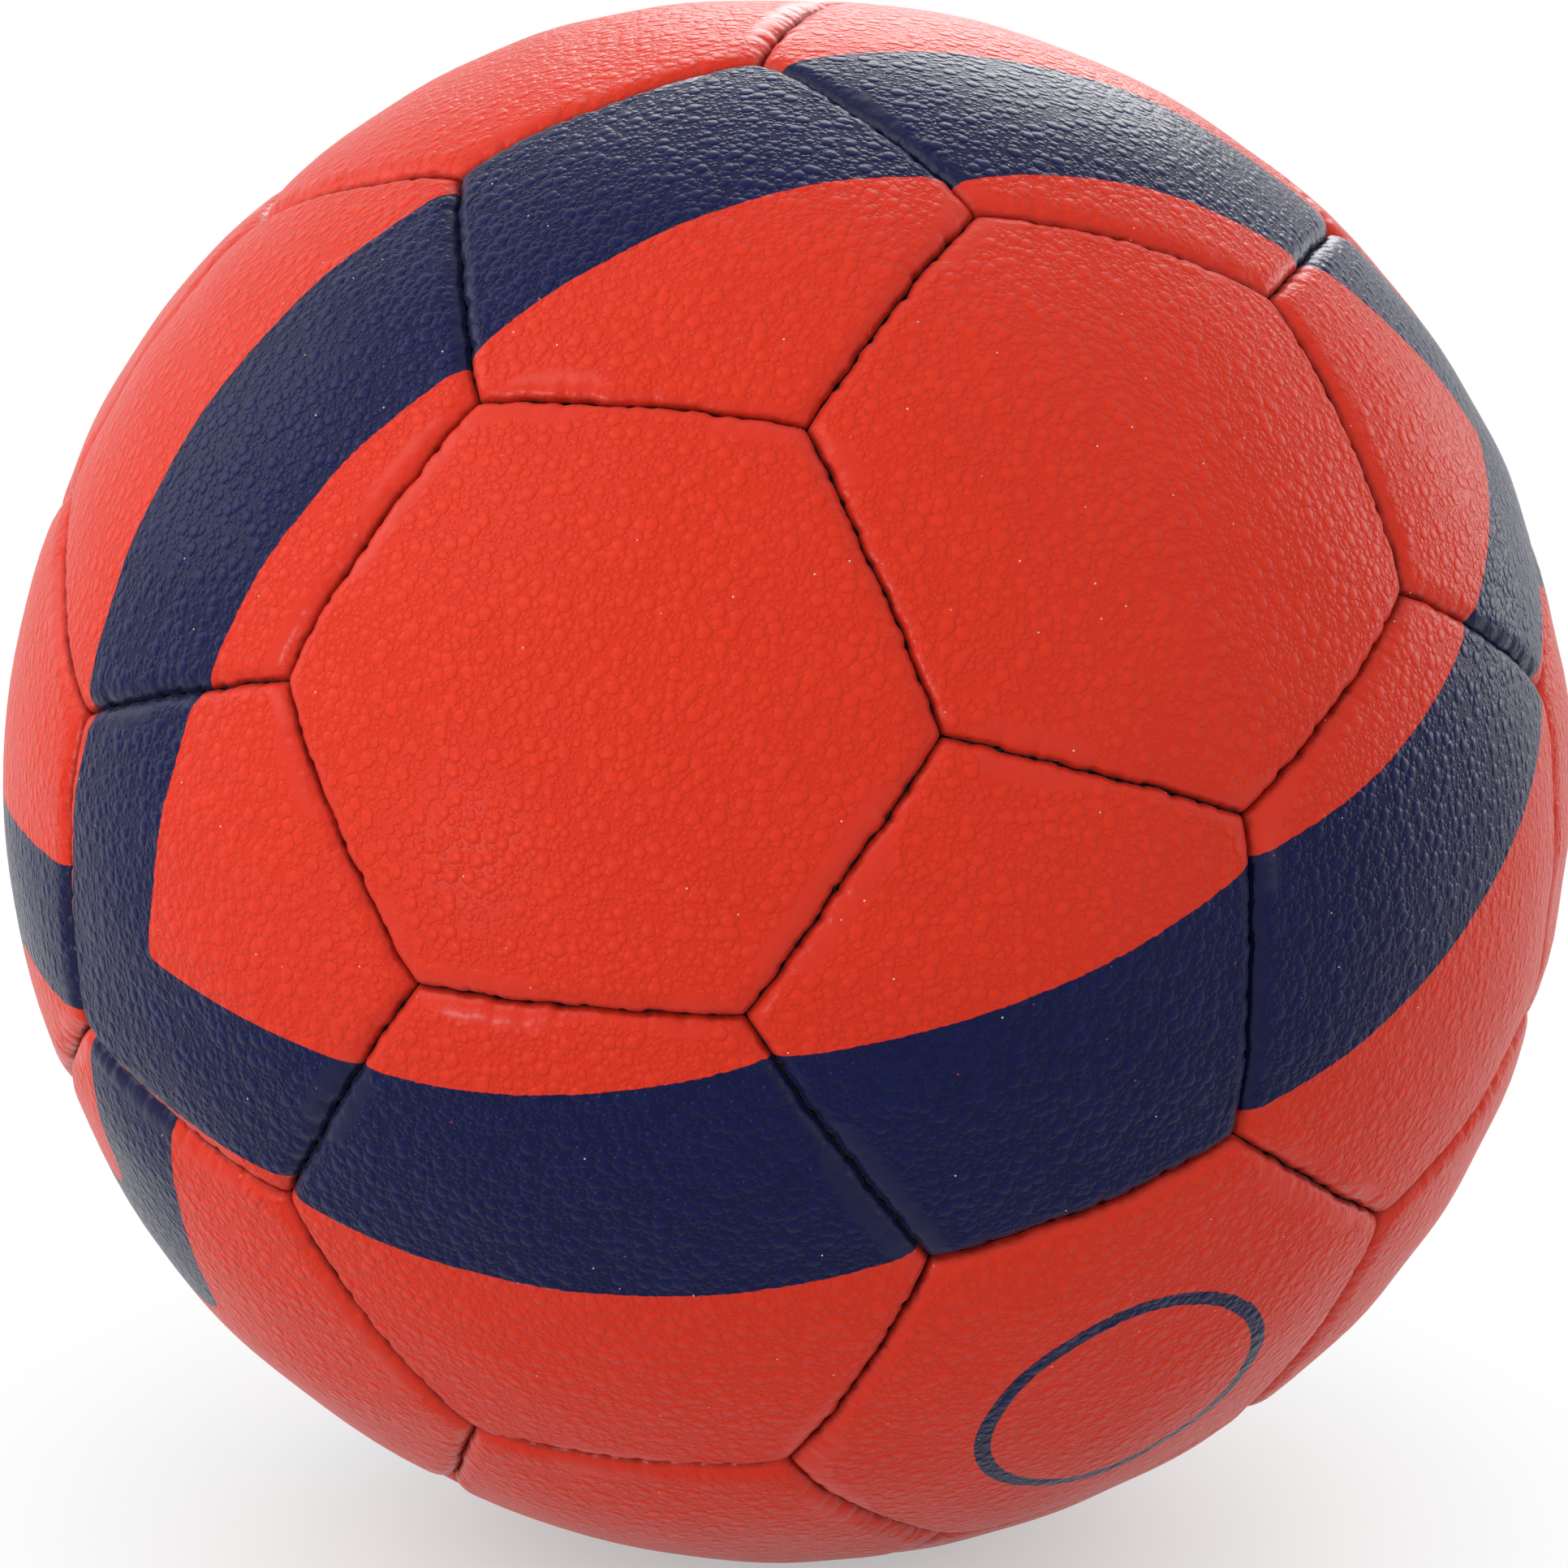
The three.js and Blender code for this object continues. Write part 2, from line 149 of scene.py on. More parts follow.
sewing = {
    "stitchPitch": 3.5,
    "pitchJitter": 0.35,
    "puckerDepth": 0.3,
    "puckerSpread": (0.25, 1.0),  # shares of that depth, from the weakest pucker to the strongest
    "puckerWidth": 0.5,
    "puckerReach": 2.1,  # how far up the margin a pucker fades
    "wander": (0.07, 0.08, 0.09, 0.1),  # sideways swing of the seam line, for each wavelength
    "wanderLength": (4.1, 6.7, 13.0, 25.0),
    "pillow": 0.09,  # small bulges of the skin between the stitches
    "pillowLength": (1.7, 2.4, 3.1),
    "proud": 0.16,  # by how much one lip of a seam stands over the other
    "proudLength": 47.0,
    "lipReach": 1.6,  # how far up the margin the swing and the proud lip fade
    "cornerCalm": (0.72, 0.97),  # shares of the half seam over which all this dies out
    "seed": 40,
}


def newSeam(middle, along, index):
    draw = np.random.default_rng(sewing["seed"] + index)
    count = int(2 * seamHalf / sewing["stitchPitch"])
    places = (np.arange(count) - (count - 1) / 2) * sewing["stitchPitch"]
    waves = len(sewing["wander"])
    return {
        "middle": middle,
        "along": along,
        "stitches": places + draw.normal(0, sewing["pitchJitter"], count),
        "pucker": draw.uniform(*sewing["puckerSpread"], (2, count)) * sewing["puckerDepth"],
        "wander": np.array(sewing["wander"]) * draw.choice((-1, 1), waves),
        "phase": draw.uniform(0, 2 * math.pi, waves),
        "pillowPhase": draw.uniform(0, 2 * math.pi, (2, len(sewing["pillowLength"]))),
        "proudPhase": draw.uniform(0, 2 * math.pi),
        "proudLean": draw.uniform(-1, 1),
        "panels": 0,  # how many of its two panels have joined it
    }


seams = {}


def joinSeams(panel):
    # Gives a panel its own axes and the seam on each of its sides
    middle = panel["middle"]
    nearest = max((p for p in panels if p is not panel), key=lambda p: p["middle"] @ middle)["middle"]
    panel["right"] = unit(nearest - (nearest @ middle) * middle)
    panel["up"] = np.cross(middle, panel["right"])
    panel["edges"] = []
    for k in range(panel["sides"]):
        turn = 2 * math.pi * k / panel["sides"]
        outward = math.cos(turn) * panel["right"] + math.sin(turn) * panel["up"]
        seamMiddle = math.cos(panel["apothem"]) * middle + math.sin(panel["apothem"]) * outward
        key = tuple(np.round(seamMiddle, 3) + 0.0)  # adding 0 turns -0 to 0
        if key not in seams:
            seams[key] = newSeam(seamMiddle, np.cross(middle, outward), len(seams))
        seam = seams[key]
        panel["edges"].append({"turn": turn, "seam": seam, "side": seam["panels"]})
        seam["panels"] += 1


for panel in panels:
    joinSeams(panel)
print(len(panels), "panels,", len(seams), "seams")

# cover panel meshes

cover = {
    "margin": 3.5,  # where the panel starts to turn down towards a seam
    "crownFall": 0.45,  # from the panel's middle to the start of its margin
    "crownSpread": 0.15,  # panels differ by this much
    "crownPower": 2.2,  # 2 is a plain bowl, more keeps the middle flatter
    "crownRows": 10,
    "middleRing": 1.2,  # radius of the innermost row
    "lipDepth": 1.9,  # from the start of the margin down to where two lips meet
    "roundness": 2.1,  # 2 is an ellipse, less is flatter
    "lipGap": 0.045,  # from a lip to the middle of the seam
    "marginRows": 17,
    "cornerRadius": 0.6,
    "cornerSpread": 0.75,  # extra corner radius for each millimetre in from the seam
    "cornerPower": 1.5,  # how fast the corners round off towards the panel's middle
    "cornerSink": 0.45,
    "cornerReach": 2.4,
    "finePoints": 80,  # along an edge, in the margin
    "coarsePoints": 20,
    # Rows under the lip, each an inset from the seam and a depth
    "underRows": {
        "threadPocket": (0.62, 2.9),
        "flangeTop": (0.24, 3.7),
        "flangeTip": (0.2, 7.7),
        "flangeInside": (2.4, 7.7),
        "lining": (2.7, 3.75),
    },
    "insideDepth": 3.0,  # rows that lie deeper take the painted seam shade all over
    "liningShares": (0.8, 0.4, 0.0),
    "holeEdge": ((0.0, 0.3), (0.12, 0.1), (0.4, 0.0)),  # rows round a hole: out from its edge, and depth
    "holeShare": 0.06,  # where the crown's even rows start round a hole
    "lumpHeight": (0.07, 0.045),
    "lumpLength": (31.0, 14.0),
    "lumpWaves": 4,  # of each length
    "seed": 7,
    "panelSeed": 107,
}

coverDraw = np.random.default_rng(cover["seed"])
lumps = [
    (height, unit(coverDraw.normal(size=3)) * 2 * math.pi / length, coverDraw.uniform(0, 2 * math.pi))
    for height, length in zip(cover["lumpHeight"], cover["lumpLength"])
    for _ in range(cover["lumpWaves"])
]


def lumpAt(direction):
    return sum(h * np.sin(ballRadius * direction @ wave + phase) for h, wave, phase in lumps)


def smoothStep(low, high, value):
    t = np.clip((value - low) / (high - low), 0, 1)
    return t * t * (3 - 2 * t)


def roundedSide(sides, apothem, fillet, count):
    # One side of a rounded polygon, from the middle of one corner to the middle of the next
    half = math.pi / sides
    fillet = min(fillet, apothem * 0.999)  # a little short of a full circle
    straight = (apothem - fillet) * math.tan(half)
    share = np.linspace(-1, 1, count, endpoint=False)
    run = np.abs(share) * (straight + fillet * half)
    bend = np.maximum(run - straight, 0) / fillet
    out = apothem - fillet * (1 - np.cos(bend))
    along = np.sign(share) * (np.minimum(run, straight) + fillet * np.sin(bend))
    return share, out, along


def cornerFillet(inset, level):
    return (cover["cornerRadius"] + cover["cornerSpread"] * inset) / level


def marginRows(crownFall):
    # Each row goes once round the panel: inset from the seam, depth, way its surface faces
    width = cover["margin"] - cover["lipGap"]
    power = 2 / cover["roundness"]
    turn = np.linspace(0.0, math.pi / 2, cover["marginRows"])
    inset = cover["margin"] - width * np.sin(turn) ** power
    depth = crownFall + cover["lipDepth"] * (1 - np.cos(turn) ** power)
    tilt = np.arctan2(np.gradient(depth), -np.gradient(inset))
    rows = [
        {"inset": i, "depth": d, "tilt": t, "count": cover["finePoints"], "pull": 1}
        for i, d, t in zip(inset, depth, tilt)
    ]
    for inset, depth in cover["underRows"].values():
        rows.append({"inset": inset, "depth": depth, "tilt": 0, "count": cover["coarsePoints"], "pull": 0})
    return rows


def besideSeam(edge, row, run, share):
    # How far the stitching moves the skin sideways and up, at places along one side of a seam
    seam, side = edge["seam"], edge["side"]
    sign = 1 - 2 * side
    calm = 1 - smoothStep(*sewing["cornerCalm"], np.abs(share))
    atLip = row["pull"] * math.exp(-row["inset"] / sewing["lipReach"])
    swing = sum(
        width * np.sin(2 * math.pi * run / length + phase)
        for width, length, phase in zip(seam["wander"], sewing["wanderLength"], seam["phase"])
    )
    offset = (run[:, None] - seam["stitches"]) / sewing["puckerWidth"]
    pucker = (seam["pucker"][side] * np.exp(-offset**2)).sum(axis=1)
    waves = 2 * math.pi * run[:, None] / sewing["pillowLength"] + seam["pillowPhase"][side]
    pillows = sewing["pillow"] * np.sin(waves).prod(axis=1)
    reach = row["pull"] * math.exp(-((row["inset"] / sewing["puckerReach"]) ** 2))
    lift = (pillows - pucker) * calm * reach
    proud = (np.sin(2 * math.pi * run / sewing["proudLength"] + seam["proudPhase"]) + seam["proudLean"]) / 2
    fromCorner = (1 - np.abs(share)) * seamHalf
    sink = cover["cornerSink"] * np.exp(-((fromCorner / cover["cornerReach"]) ** 2))
    sideways = sign * swing * calm * atLip + lift * math.sin(row["tilt"])
    rise = sign * sewing["proud"] * proud * calm * atLip + lift * math.cos(row["tilt"]) - sink * atLip
    return sideways, rise


def directionsAt(panel, turn, outward, along):
    # Directions from the ball's middle to places beside one edge of a panel's print plane
    x = outward * math.cos(turn) - along * math.sin(turn)
    y = outward * math.sin(turn) + along * math.cos(turn)
    return unit(x[:, None] * panel["right"] + y[:, None] * panel["up"] + panel["middle"])


def rowPoints(panel, row):
    # Points of one row on every side of the panel, with their place on the panel's print plane
    level = ballRadius - row["depth"]
    apothem = math.tan(panel["apothem"] - row["inset"] / level)
    fillet = row.get("fillet", cornerFillet(row["inset"], level))
    share, out, along = roundedSide(panel["sides"], apothem, fillet, row["count"])
    points, plane = [], []
    for edge in panel["edges"]:
        seam = edge["seam"]
        direction = directionsAt(panel, edge["turn"], out, along)
        run = ballRadius * np.arctan2(direction @ seam["along"], direction @ seam["middle"])
        sideways, rise = besideSeam(edge, row, run, share)
        height = level + rise + lumpAt(direction)
        direction = directionsAt(panel, edge["turn"], out + sideways / level, along)
        points.append(direction * height[:, None])
        plane.append(direction / (direction @ panel["middle"])[:, None])
    return np.concatenate(points), np.concatenate(plane)


def stitchRows(faces, low, high, lowCount, highCount):
    # Faces between two closed rows; a fine row has four points for each point of a coarse one
    if lowCount == highCount:
        for i in range(lowCount):
            j = (i + 1) % lowCount
            faces.append((low + i, low + j, high + j, high + i))
        return
    flip = lowCount > highCount
    coarse, fine, count = (high, low, highCount) if flip else (low, high, lowCount)
    for i in range(count):
        a, b = coarse + i, coarse + (i + 1) % count
        f = [fine + (4 * i + k) % (4 * count) for k in range(5)]
        fans = [(a, f[1], f[0]), (a, f[2], f[1]), (a, b, f[2]), (b, f[3], f[2]), (b, f[4], f[3])]
        faces.extend([fan[::-1] for fan in fans] if flip else fans)


def panelRows(panel, hole):
    # Rows run from the middle of the panel out over the margin, down the lip and back under the lining
    draw = np.random.default_rng(cover["panelSeed"] + panel["number"])
    crownFall = cover["crownFall"] + draw.uniform(-1, 1) * cover["crownSpread"]
    full = ballRadius * panel["apothem"]
    inner = hole or cover["middleRing"]

    def flatRow(share, depth):  # share is 1 at the margin and 0 at the innermost row
        inset = full - (inner + (full - cover["margin"] - inner) * share)
        apothem = math.tan(panel["apothem"] - inset / ballRadius)
        atMargin = cornerFillet(cover["margin"], ballRadius)
        fillet = apothem + (atMargin - apothem) * share ** cover["cornerPower"]
        return {
            "inset": inset, "depth": depth, "tilt": 0, "pull": 0,
            "fillet": fillet, "count": cover["coarsePoints"],
        }

    liningDepth = cover["underRows"]["lining"][1]
    edge = ((0.0, liningDepth), *cover["holeEdge"]) if hole else ()
    rows = [flatRow(out / full, depth) for out, depth in edge]
    first = cover["holeShare"] if hole else 0
    for share in np.linspace(first, 1, cover["crownRows"], endpoint=False):
        rows.append(flatRow(share, crownFall * share ** cover["crownPower"]))
    rows += marginRows(crownFall)
    return rows + [flatRow(share, liningDepth) for share in cover["liningShares"]]


def buildCover(panel, hole=None):
    # A panel's points, faces, places on the print plane, and distances from the seam
    points, plane, fromSeam, faces, starts = [], [], [], [], []
    total = 0
    for row in panelRows(panel, hole):
        rowXyz, rowPlane = rowPoints(panel, row)
        starts.append((total, len(rowXyz)))
        points.append(rowXyz)
        plane.append(rowPlane)
        fromSeam += [row["inset"] if row["depth"] < cover["insideDepth"] else 0.0] * len(rowXyz)
        total += len(rowXyz)
    for (low, lowCount), (high, highCount) in zip(starts, starts[1:]):
        stitchRows(faces, low, high, lowCount, highCount)
    points, plane = np.concatenate(points), np.concatenate(plane)
    if hole:
        stitchRows(faces, starts[-1][0], 0, starts[-1][1], starts[0][1])
        return points, faces, plane, fromSeam
    for (start, count), outside in ((starts[0], True), (starts[-1], False)):
        middlePoint = unit(points[start:start + count].mean(axis=0)) * np.linalg.norm(points[start])
        tip = len(points)
        points = np.vstack((points, middlePoint))
        plane = np.vstack((plane, panel["middle"]))
        fromSeam.append(ballRadius * panel["apothem"] if outside else 0.0)
        for i in range(count):
            j = start + (i + 1) % count
            faces.append((tip, j, start + i) if outside else (tip, start + i, j))
    return points, faces, plane, fromSeam


def newMesh(name, points, faces):
    mesh = bpy.data.meshes.new(name)
    mesh.from_pydata([tuple(p) for p in np.asarray(points) * mm], [], faces)
    mesh.polygons.foreach_set("use_smooth", [True] * len(mesh.polygons))
    mesh.update()
    made = bpy.data.objects.new(name, mesh)
    bpy.context.scene.collection.objects.link(made)
    return made


# printed stripes

# The print has three mirror planes. Places are given by how far they reach along these three axes.
printAxes = unit([(-1, 1 / golden, golden), (-golden, -1, -1 / golden), (1 / golden, -golden, 1)])

# A border's height over the panel's middle, x sideways: middle + lean x + bow x^2 + kink sqrt(x^2 + soft^2)
prints = {
    "broadBand": {
        "middle": (1, 1, 1),
        "towards": (0, 1 / golden, golden),
        "lower": {"middle": -0.4, "lean": -0.009, "bow": 0.0021},
        "upper": {"middle": 25.9, "lean": -0.148, "bow": 0.0040},
    },
    "narrowBand": {
        "middle": (1 / golden, golden, 0),
        "towards": (-1 / golden, golden, 0),
        "lower": {"middle": -1.1, "kink": 0.59, "soft": 1.9},
        "upper": {"middle": 16.9, "kink": 0.78, "soft": 2.8},
    },
    "arcHalf": {
        "middle": (1, 0, golden),
        "towards": (0, 0, 1),
        "upper": {"middle": 2.5, "bow": 0.00275},
    },
    "cornerBand": {
        "middle": (0, golden, 1),
        "towards": (0, 0, 1),
        "lower": {"middle": -33.9, "kink": 0.87, "soft": 0.8},
        "upper": {"middle": -7.8, "kink": 0.92, "soft": 0.8},
    },
}
ring = {
    "panel": (1, -1, -1),
    "towards": (0, -golden, 1 / golden),
    "centre": (0.4, -0.4),
    "radius": 17.6,
    "line": 2.05,
}
# Panels whose print is off its place, by millimetres along their print's own axes
misprints = [
    {"panel": (0, -golden, -1 / golden), "shift": (0.0, -0.9)},
    {"panel": (golden, -1 / golden, 0), "shift": (0.0, -0.4)},
]
sameWay = 0.99  # two directions that agree this well point at one panel
sameReach = 0.02  # reaches along an axis nearer than this are one and the same


def uprightAt(middle, towards):  # the axes sideways and up at a panel's middle
    up = unit(towards - (towards @ middle) * middle)
    return np.cross(up, middle), up


def printFor(panel):
    # Which print a panel carries, and the two axes that its print plane is drawn along
    reach = printAxes @ panel["middle"]
    mirror = np.where(reach < -sameReach, -1, 1)
    for name, kind in prints.items():
        middle = unit(kind["middle"])
        if np.allclose(np.abs(reach), middle, atol=sameReach):
            right, up = uprightAt(middle, unit(kind["towards"]))
            return name, (right * mirror) @ printAxes, (up * mirror) @ printAxes
    if panel["middle"] @ unit(ring["panel"]) > sameWay:
        return "ring", *uprightAt(panel["middle"], unit(ring["towards"]))
    return "plain", panel["right"], panel["up"]


# shader wires


class Wire:  # one socket; arithmetic on it adds the Math nodes
    def __init__(self, tree, socket=None):
        self.tree = tree
        self.socket = socket

    def add(self, kind, settings=None, sockets=None, out=0):  # a new node; gives the wire of one output
        node = self.tree.nodes.new(kind)
        for name, value in (settings or {}).items():
            setattr(node, name, value)
        for name, value in (sockets or {}).items():
            if isinstance(value, Wire):
                self.tree.links.new(value.socket, node.inputs[name])
            else:
                node.inputs[name].default_value = value
        return Wire(self.tree, None if out is None else node.outputs[out])

    def feed(self, name, wire):  # links another wire to an input of the node that this one leaves
        self.tree.links.new(wire.socket, self.socket.node.inputs[name])

    def maths(self, operation, *values):
        return self.add("ShaderNodeMath", {"operation": operation}, dict(enumerate(values)))

    def __add__(self, other):
        return self.maths("ADD", self, other)

    def __sub__(self, other):
        return self.maths("SUBTRACT", self, other)

    def __rsub__(self, other):
        return self.maths("SUBTRACT", other, self)

    def __mul__(self, other):
        return self.maths("MULTIPLY", self, other)

    def __truediv__(self, other):
        return self.maths("DIVIDE", self, other)

    def __rtruediv__(self, other):
        return self.maths("DIVIDE", other, self)

    def __pow__(self, other):
        return self.maths("POWER", self, other)

    def __rpow__(self, other):
        return self.maths("POWER", other, self)

    __radd__ = __add__
    __rmul__ = __mul__

    def size(self):
        return self.maths("ABSOLUTE", self)

    def root(self):
        return self.maths("SQRT", self)

    def least(self, other):
        return self.maths("MINIMUM", self, other)

    def most(self, other):
        return self.maths("MAXIMUM", self, other)

    def step(self, low, high):  # smooth, 0 at low and 1 at high
        return self.add(
            "ShaderNodeMapRange",
            {"interpolation_type": "SMOOTHSTEP"},
            {"Value": self, "From Min": low, "From Max": high},
        )

    def tint(self, first, second):  # this wire mixes from the first colour to the second
        settings = {"data_type": "RGBA"}
        return self.add("ShaderNodeMix", settings, {"Factor": self, 6: first, 7: second}, out=2)


def colour(red, green, blue):  # a screen colour, 0 to 255, in linear light
    def linear(value):
        value = value / 255
        return value / 12.92 if value < 0.04045 else ((value + 0.055) / 1.055) ** 2.4

    return (linear(red), linear(green), linear(blue), 1.0)


def newMaterial(name, base, roughness, settings=None):  # the material and the wire of its shader
    material = bpy.data.materials.new(name)
    material.use_nodes = True
    material.diffuse_color = base
    wire = Wire(material.node_tree)
    wire.tree.nodes.clear()
    sockets = {"Base Color": base, "Roughness": roughness}
    sockets.update(settings or {})
    return material, wire.add("ShaderNodeBsdfPrincipled", None, sockets)


def surface(wire):
    wire.add("ShaderNodeOutputMaterial", None, {"Surface": wire}, out=None)


def bump(wire, height):
    return wire.add("ShaderNodeBump", None, {"Distance": mm, "Height": height})


def inObject(wire):  # a point's own place in the object, in metres
    return wire.add("ShaderNodeTexCoord", out="Object")


def noise(position, size, detail=2.0):
    sockets = {"Vector": position, "Scale": 1 / (size * mm), "Detail": detail}
    return position.add("ShaderNodeTexNoise", None, sockets)


# cover finish

finish = {
    "orange": colour(214, 51, 28),
    # The deep colours are painted shade for the low places of the grain; the navy one also shades the seams
    # on the print
    "orangeShade": colour(205, 45, 24),
    "orangeMottleAndShade": {"size": 9.0, "share": 0.6},
    "navy": colour(10, 17, 66),
    "navyShade": colour(6, 11, 54),
    "navyMottleAndShade": {"size": 7.0, "share": 0.5},
    "orangeRough": 0.34,
    "navyRough": 0.28,
    "stripRough": 0.32,  # the smooth strip along the seams
    "roughSpread": {"size": 0.5, "share": 0.1},
    "stripGloss": 0.16,  # its coat
    "coatRough": 0.22,
    "shine": 0.09,  # specular level
    "haze": 0.05,  # sheen, which pales the sides that face away
    "hazeRough": 0.5,
    "bubbles": ((2.1, 0.44, 1.0), (1.25, 0.45, 0.66), (0.66, 0.46, 0.4)),  # cell, radius in cells, height
    "bubbleScatter": 0.75,
    "domeSharpness": 3.2,
    "bubbleHeight": 0.22,
    "poreSize": 0.16,
    "poreHeight": 0.008,
    "inkHeight": 0.01,
    "crinkle": {"height": 0.52, "size": 2.0, "reach": (0.6, 3.4)},  # creases beside the seams
    "grainStart": (0.4, 2.1),  # distances from the seam over which the grain rises
    # Where a slow noise is high, the smooth strip beside the seam is wider by this width
    "smoothStrip": {"width": 1.9, "size": 16.0, "from": 0.55, "to": 0.66},
    "raggedSize": 1.1,
    "grainRagged": 0.7,
    "borderRagged": 0.2,
    "borderSoftness": 0.08,
    # Painted shade: a dark colour laid beside the seams, where the groove lies in shade
    "seamShade": {"colour": colour(120, 18, 10), "reach": (0.05, 0.75), "ragged": 0.25},
    "seamShadePatches": {"size": 5.0, "strength": 1.6, "lost": 0.15},
    "dust": {"cell": 2.8, "size": 0.11, "share": 0.5, "strength": 0.8, "colour": colour(236, 214, 204)},
    "pinhole": {"cell": 2.4, "size": 0.13, "share": 0.3, "strength": 1.0, "colour": colour(150, 62, 52)},
    "speckEdge": (0.6, 1.3),  # a speck's soft edge, in shares of its size
}


def voronoi(position, cell, scatter, out):
    sockets = {"Vector": position, "Scale": 1 / (cell * mm), "Randomness": scatter}
    settings = {"voronoi_dimensions": "3D", "feature": "F1"}
    return position.add("ShaderNodeTexVoronoi", settings, sockets, out=out)


def bubbleHeight(position):
    # Round bubbles of three sizes, the smaller ones in the gaps between the larger
    total = 0.0
    for cell, radius, height in finish["bubbles"]:
        distance = voronoi(position, cell, finish["bubbleScatter"], "Distance")
        dome = (1 - (distance / radius).least(1.0) ** finish["domeSharpness"]) * height
        total = dome.most(total)
    return total


def specked(position, kind, base):
    # Sparse small spots over a colour: some cells of a Voronoi pattern have one at their point
    distance = voronoi(position, kind["cell"], 1.0, "Distance")
    lot = position.add("ShaderNodeSeparateXYZ", None, {0: voronoi(position, kind["cell"], 1.0, "Color")})
    inner, outer = (edge * kind["size"] / kind["cell"] for edge in finish["speckEdge"])
    chosen = 1 - lot.step(kind["share"] - 0.01, kind["share"])
    spots = (1 - distance.step(inner, outer)) * chosen * kind["strength"]
    return spots.tint(base, kind["colour"])


def borderHeight(x, line):
    height = x * line.get("lean", 0) + line["middle"]
    if "bow" in line:
        height = height + x * x * line["bow"]
    if "kink" in line:
        height = height + (x * x + line["soft"] ** 2).root() * line["kink"]
    return height


def printMask(name, x, y):
    # 1 where the navy ink lies
    soft = finish["borderSoftness"]
    if name == "ring":
        centreX, centreY = ring["centre"]
        away = ((x - centreX) * (x - centreX) + (y - centreY) * (y - centreY)).root()
        return 1 - ((away - ring["radius"]).size() - ring["line"] / 2).step(-soft, soft)
    mask = 1.0
    for border, facing in (("lower", 1), ("upper", -1)):
        if border in prints[name]:
            above = y - borderHeight(x, prints[name][border])
            mask = (above * facing).step(-soft, soft) * mask
    return mask


def coverMaterial(name):
    material, shader = newMaterial("cover_" + name, finish["orange"], finish["orangeRough"], {
        "Specular IOR Level": finish["shine"],
        "Sheen Weight": finish["haze"],
        "Sheen Roughness": finish["hazeRough"],
        "Coat Roughness": finish["coatRough"],
    })
    position = inObject(shader)
    # onPanel holds a point's place on the print plane and its distance from the seam, in millimetres
    onPanel = shader.add("ShaderNodeAttribute", {"attribute_name": "onPanel"}, out="Vector")
    x, y, fromSeam = (shader.add("ShaderNodeSeparateXYZ", None, {0: onPanel}, out=k) for k in range(3))
    ragged = noise(position, finish["raggedSize"], 1.0) * 2 - 1
    smooth = finish["smoothStrip"]
    strip = noise(position, smooth["size"], 0.0).step(smooth["from"], smooth["to"]) * smooth["width"]
    grain = (fromSeam - strip + ragged * finish["grainRagged"]).step(*finish["grainStart"])
    bubbles = bubbleHeight(position) * grain

    def mottledAndShaded(kind, deep, full):  # painted shade: the colour is deeper in the low places between the bubbles, plus random tone from a slow noise
        return (bubbles + noise(position, kind["size"]) * kind["share"]).least(1.0).tint(deep, full)

    base = mottledAndShaded(finish["orangeMottleAndShade"], finish["orangeShade"], finish["orange"])
    spread = finish["roughSpread"]
    rough = finish["orangeRough"] + (noise(position, spread["size"]) - 0.5) * spread["share"]
    crinkle, shadeInSeam, shadePatches = finish["crinkle"], finish["seamShade"], finish["seamShadePatches"]
    creases = noise(position, crinkle["size"], 3.0) * (1 - fromSeam.step(*crinkle["reach"]))
    pores = noise(position, finish["poreSize"], 1.0)
    height = bubbles * finish["bubbleHeight"] + pores * finish["poreHeight"]
    height = height + creases * crinkle["height"]
    seamShadeColour = shadeInSeam["colour"]
    if name != "plain":
        stray = ragged * finish["borderRagged"]
        ink = printMask(name, x + stray, y + stray)
        navy = mottledAndShaded(finish["navyMottleAndShade"], finish["navyShade"], finish["navy"])
        base = ink.tint(base, specked(position, finish["pinhole"], navy))
        seamShadeColour = ink.tint(seamShadeColour, finish["navyShade"])
        rough = rough + ink * (finish["navyRough"] - finish["orangeRough"])
        height = height + ink * finish["inkHeight"]
    rough = rough + (1 - grain) * (finish["stripRough"] - finish["orangeRough"])
    # Painted shade darkens the colour near the seam and on the rows under the lip, in patches
    inSeamShade = 1 - (fromSeam + ragged * shadeInSeam["ragged"]).step(*shadeInSeam["reach"])
    shadePatchy = noise(position, shadePatches["size"]) * shadePatches["strength"] - shadePatches["lost"]
    base = (inSeamShade * shadePatchy).tint(base, seamShadeColour)
    shader.feed("Base Color", specked(position, finish["dust"], base))
    shader.feed("Roughness", rough)
    shader.feed("Coat Weight", (1 - grain) * finish["stripGloss"])
    shader.feed("Normal", bump(shader, height))
    surface(shader)
    return material


coverMaterials = {}
for panel in panels:
    panel["print"], *panel["axes"] = printFor(panel)
    if panel["print"] not in coverMaterials:
        coverMaterials[panel["print"]] = coverMaterial(panel["print"])
    panel["shift"] = (0.0, 0.0)
    for misprint in misprints:
        if panel["middle"] @ unit(misprint["panel"]) > sameWay:
            panel["shift"] = misprint["shift"]
print("cover finishes ready:", ", ".join(sorted(coverMaterials)))

# valve, bladder and patch

